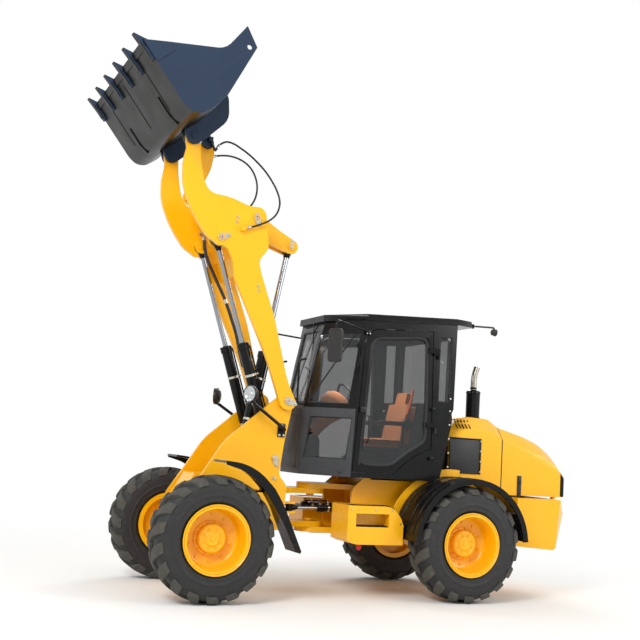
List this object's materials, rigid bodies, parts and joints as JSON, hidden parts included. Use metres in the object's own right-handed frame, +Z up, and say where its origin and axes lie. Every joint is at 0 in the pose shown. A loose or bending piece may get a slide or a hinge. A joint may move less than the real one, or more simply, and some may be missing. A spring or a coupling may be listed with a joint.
{
  "type": "articulated wheel loader",
  "caption": "Articulated wheel loader with raised boom, rolled-back bucket, glazed cab, rear engine hood and tyred wheels.",
  "frame": {"origin": "on the ground, midway between the ends and sides of the loader's overall box", "axes": "+X forward, +Y left, +Z up"},
  "size_m": [5.9542, 2.38, 5.9295],
  "materials": {
    "yellow_paint": "gloss machine enamel",
    "black_paint": "satin black enamel",
    "slate_paint": "satin slate blue enamel, worn along edges",
    "chrome_rod": "hard chrome plate",
    "tyre_rubber": "dusty black rubber",
    "engine_iron": "painted casting",
    "cab_glass": "tinted safety glass",
    "seat_cloth": "woven seat cloth",
    "hose_rubber": "smooth hydraulic hose"
  },
  "bodies": {
    "rear": {"cab_frame": "black_paint", "cab_roof": "black_paint", "corner_glass_left": "cab_glass", "corner_glass_right": "cab_glass", "counterweight": "yellow_paint", "cowl": "yellow_paint", "engine_block": "engine_iron", "exhaust": "black_paint", "lower_glass_left": "cab_glass", "lower_glass_right": "cab_glass", "mirror_left": "black_paint", "mirror_right": "black_paint", "rear_axle": "yellow_paint", "rear_fender_left": "black_paint", "rear_fender_right": "black_paint", "rear_frame": "yellow_paint", "rear_glass": "cab_glass", "seat": "seat_cloth", "side_glass_left": "cab_glass", "side_glass_right": "cab_glass", "steering_console": "black_paint", "step_left": "yellow_paint", "step_right": "yellow_paint", "windshield": "cab_glass"},
    "front": {"front_frame": "yellow_paint", "front_axle": "yellow_paint", "front_fender_left": "black_paint", "front_fender_right": "black_paint", "work_lamp_left": "black_paint", "work_lamp_right": "black_paint"},
    "boom": {"boom": "yellow_paint", "hose_a": "hose_rubber", "hose_b": "hose_rubber"},
    "bellcrank": {"bellcrank": "yellow_paint"},
    "bucket": {"bucket": "slate_paint"},
    "tilt_link": {"tilt_link": "yellow_paint"},
    "lift_barrels": {"lift_barrel_left": "black_paint", "lift_barrel_right": "black_paint"},
    "lift_rods": {"lift_rod_left": "chrome_rod", "lift_rod_right": "chrome_rod"},
    "tilt_barrel": {"tilt_barrel": "black_paint"},
    "tilt_rod": {"tilt_rod": "chrome_rod"},
    "steer_barrel_left": {"steer_barrel_left": "black_paint"},
    "steer_rod_left": {"steer_rod_left": "chrome_rod"},
    "steer_barrel_right": {"steer_barrel_right": "black_paint"},
    "steer_rod_right": {"steer_rod_right": "chrome_rod"},
    "door_left": {"door_left": "black_paint", "door_glass_left": "cab_glass"},
    "door_right": {"door_right": "black_paint", "door_glass_right": "cab_glass"},
    "hood": {"hood": "yellow_paint"},
    "wheel_front_left": {"tyre_front_left": "tyre_rubber", "rim_front_left": "yellow_paint"},
    "wheel_front_right": {"tyre_front_right": "tyre_rubber", "rim_front_right": "yellow_paint"},
    "wheel_rear_left": {"tyre_rear_left": "tyre_rubber", "rim_rear_left": "yellow_paint"},
    "wheel_rear_right": {"tyre_rear_right": "tyre_rubber", "rim_rear_right": "yellow_paint"}
  },
  "joints": [
    {"name": "steer", "type": "hinge", "parent": "rear", "child": "front", "pos_m": [0.25489, 0, 0.935], "axis": [0, 0, 1], "range_deg": [-40, 40]},
    {"name": "boom_lift", "type": "hinge", "parent": "front", "child": "boom", "pos_m": [0.7849, 0, 2.1], "axis": [0, -1, 0], "range_deg": [-103, 0]},
    {"name": "bucket_tilt", "type": "hinge", "parent": "boom", "child": "bucket", "pos_m": [2.0829, 0, 4.872], "axis": [0, 1, 0], "range_deg": [-94, 76], "deforming": ["hose_a", "hose_b"]},
    {"name": "bellcrank_turn", "type": "hinge", "parent": "boom", "child": "bellcrank", "pos_m": [1.29689, 0, 4.095], "axis": [0, 1, 0], "range_deg": [-20, 25]},
    {"name": "link_turn", "type": "hinge", "parent": "bucket", "child": "tilt_link", "pos_m": [1.7999, 0, 4.95], "axis": [0, 1, 0], "range_deg": [-80, 100]},
    {"name": "lift_barrel_turn", "type": "hinge", "parent": "front", "child": "lift_barrels", "pos_m": [0.87089, 0, 1.466], "axis": [0, -1, 0], "range_deg": [-97, 1]},
    {"name": "lift_rod_slide", "type": "slide", "parent": "lift_barrels", "child": "lift_rods", "axis": [0.3279, 0, 0.9447], "range_m": [-0.97, 0.01]},
    {"name": "tilt_barrel_turn", "type": "hinge", "parent": "front", "child": "tilt_barrel", "pos_m": [1.11489, 0, 1.55], "axis": [0, -1, 0], "range_deg": [-97, 1]},
    {"name": "tilt_rod_slide", "type": "slide", "parent": "tilt_barrel", "child": "tilt_rod", "axis": [-0.168, 0, 0.9858], "range_m": [-0.83, 0.01]},
    {"name": "door_left_swing", "type": "hinge", "parent": "rear", "child": "door_left", "pos_m": [-0.9501, 0.724, 2.3], "axis": [0, 0, 1], "range_deg": [0, 170]},
    {"name": "door_right_swing", "type": "hinge", "parent": "rear", "child": "door_right", "pos_m": [-0.9501, -0.724, 2.3], "axis": [0, 0, -1], "range_deg": [0, 170]},
    {"name": "hood_lift", "type": "hinge", "parent": "rear", "child": "hood", "pos_m": [-2.89511, 0, 1.182], "axis": [0, -1, 0], "range_deg": [0, 65]},
    {"name": "steer_barrel_left_turn", "type": "hinge", "parent": "rear", "child": "steer_barrel_left", "pos_m": [-0.20511, 0.2, 0.935], "axis": [0, 0, 1], "range_deg": [-20, 20]},
    {"name": "steer_rod_left_slide", "type": "slide", "parent": "steer_barrel_left", "child": "steer_rod_left", "axis": [0.9964, 0.0851, 0], "range_m": [-0.19, 0.19]},
    {"name": "steer_barrel_right_turn", "type": "hinge", "parent": "rear", "child": "steer_barrel_right", "pos_m": [-0.20511, -0.2, 0.935], "axis": [0, 0, 1], "range_deg": [-20, 20]},
    {"name": "steer_rod_right_slide", "type": "slide", "parent": "steer_barrel_right", "child": "steer_rod_right", "axis": [0.9964, -0.0851, 0], "range_m": [-0.19, 0.19]},
    {"name": "wheel_front_left_spin", "type": "hinge", "parent": "front", "child": "wheel_front_left", "pos_m": [1.6949, 0.91, 0.64], "axis": [0, 1, 0], "continuous": true},
    {"name": "wheel_front_right_spin", "type": "hinge", "parent": "front", "child": "wheel_front_right", "pos_m": [1.6949, -0.91, 0.64], "axis": [0, 1, 0], "continuous": true},
    {"name": "wheel_rear_left_spin", "type": "hinge", "parent": "rear", "child": "wheel_rear_left", "pos_m": [-1.2651, 0.91, 0.64], "axis": [0, 1, 0], "continuous": true},
    {"name": "wheel_rear_right_spin", "type": "hinge", "parent": "rear", "child": "wheel_rear_right", "pos_m": [-1.2651, -0.91, 0.64], "axis": [0, 1, 0], "continuous": true}
  ],
  "couplings": [
    {"joint": "bellcrank_turn", "follows": "bucket_tilt", "ratio": -0.2},
    {"joint": "link_turn", "follows": "bucket_tilt", "ratio": -0.85},
    {"joint": "lift_barrel_turn", "follows": "boom_lift", "ratio": 0.9259},
    {"joint": "lift_rod_slide", "follows": "boom_lift", "m_per_rad": 0.5381},
    {"joint": "tilt_barrel_turn", "follows": "boom_lift", "ratio": 0.91},
    {"joint": "tilt_rod_slide", "follows": "boom_lift", "m_per_rad": 0.45},
    {"joint": "steer_barrel_left_turn", "follows": "steer", "ratio": 0.46},
    {"joint": "steer_rod_left_slide", "follows": "steer", "m_per_rad": -0.235},
    {"joint": "steer_barrel_right_turn", "follows": "steer", "ratio": 0.46},
    {"joint": "steer_rod_right_slide", "follows": "steer", "m_per_rad": 0.235}
  ]
}
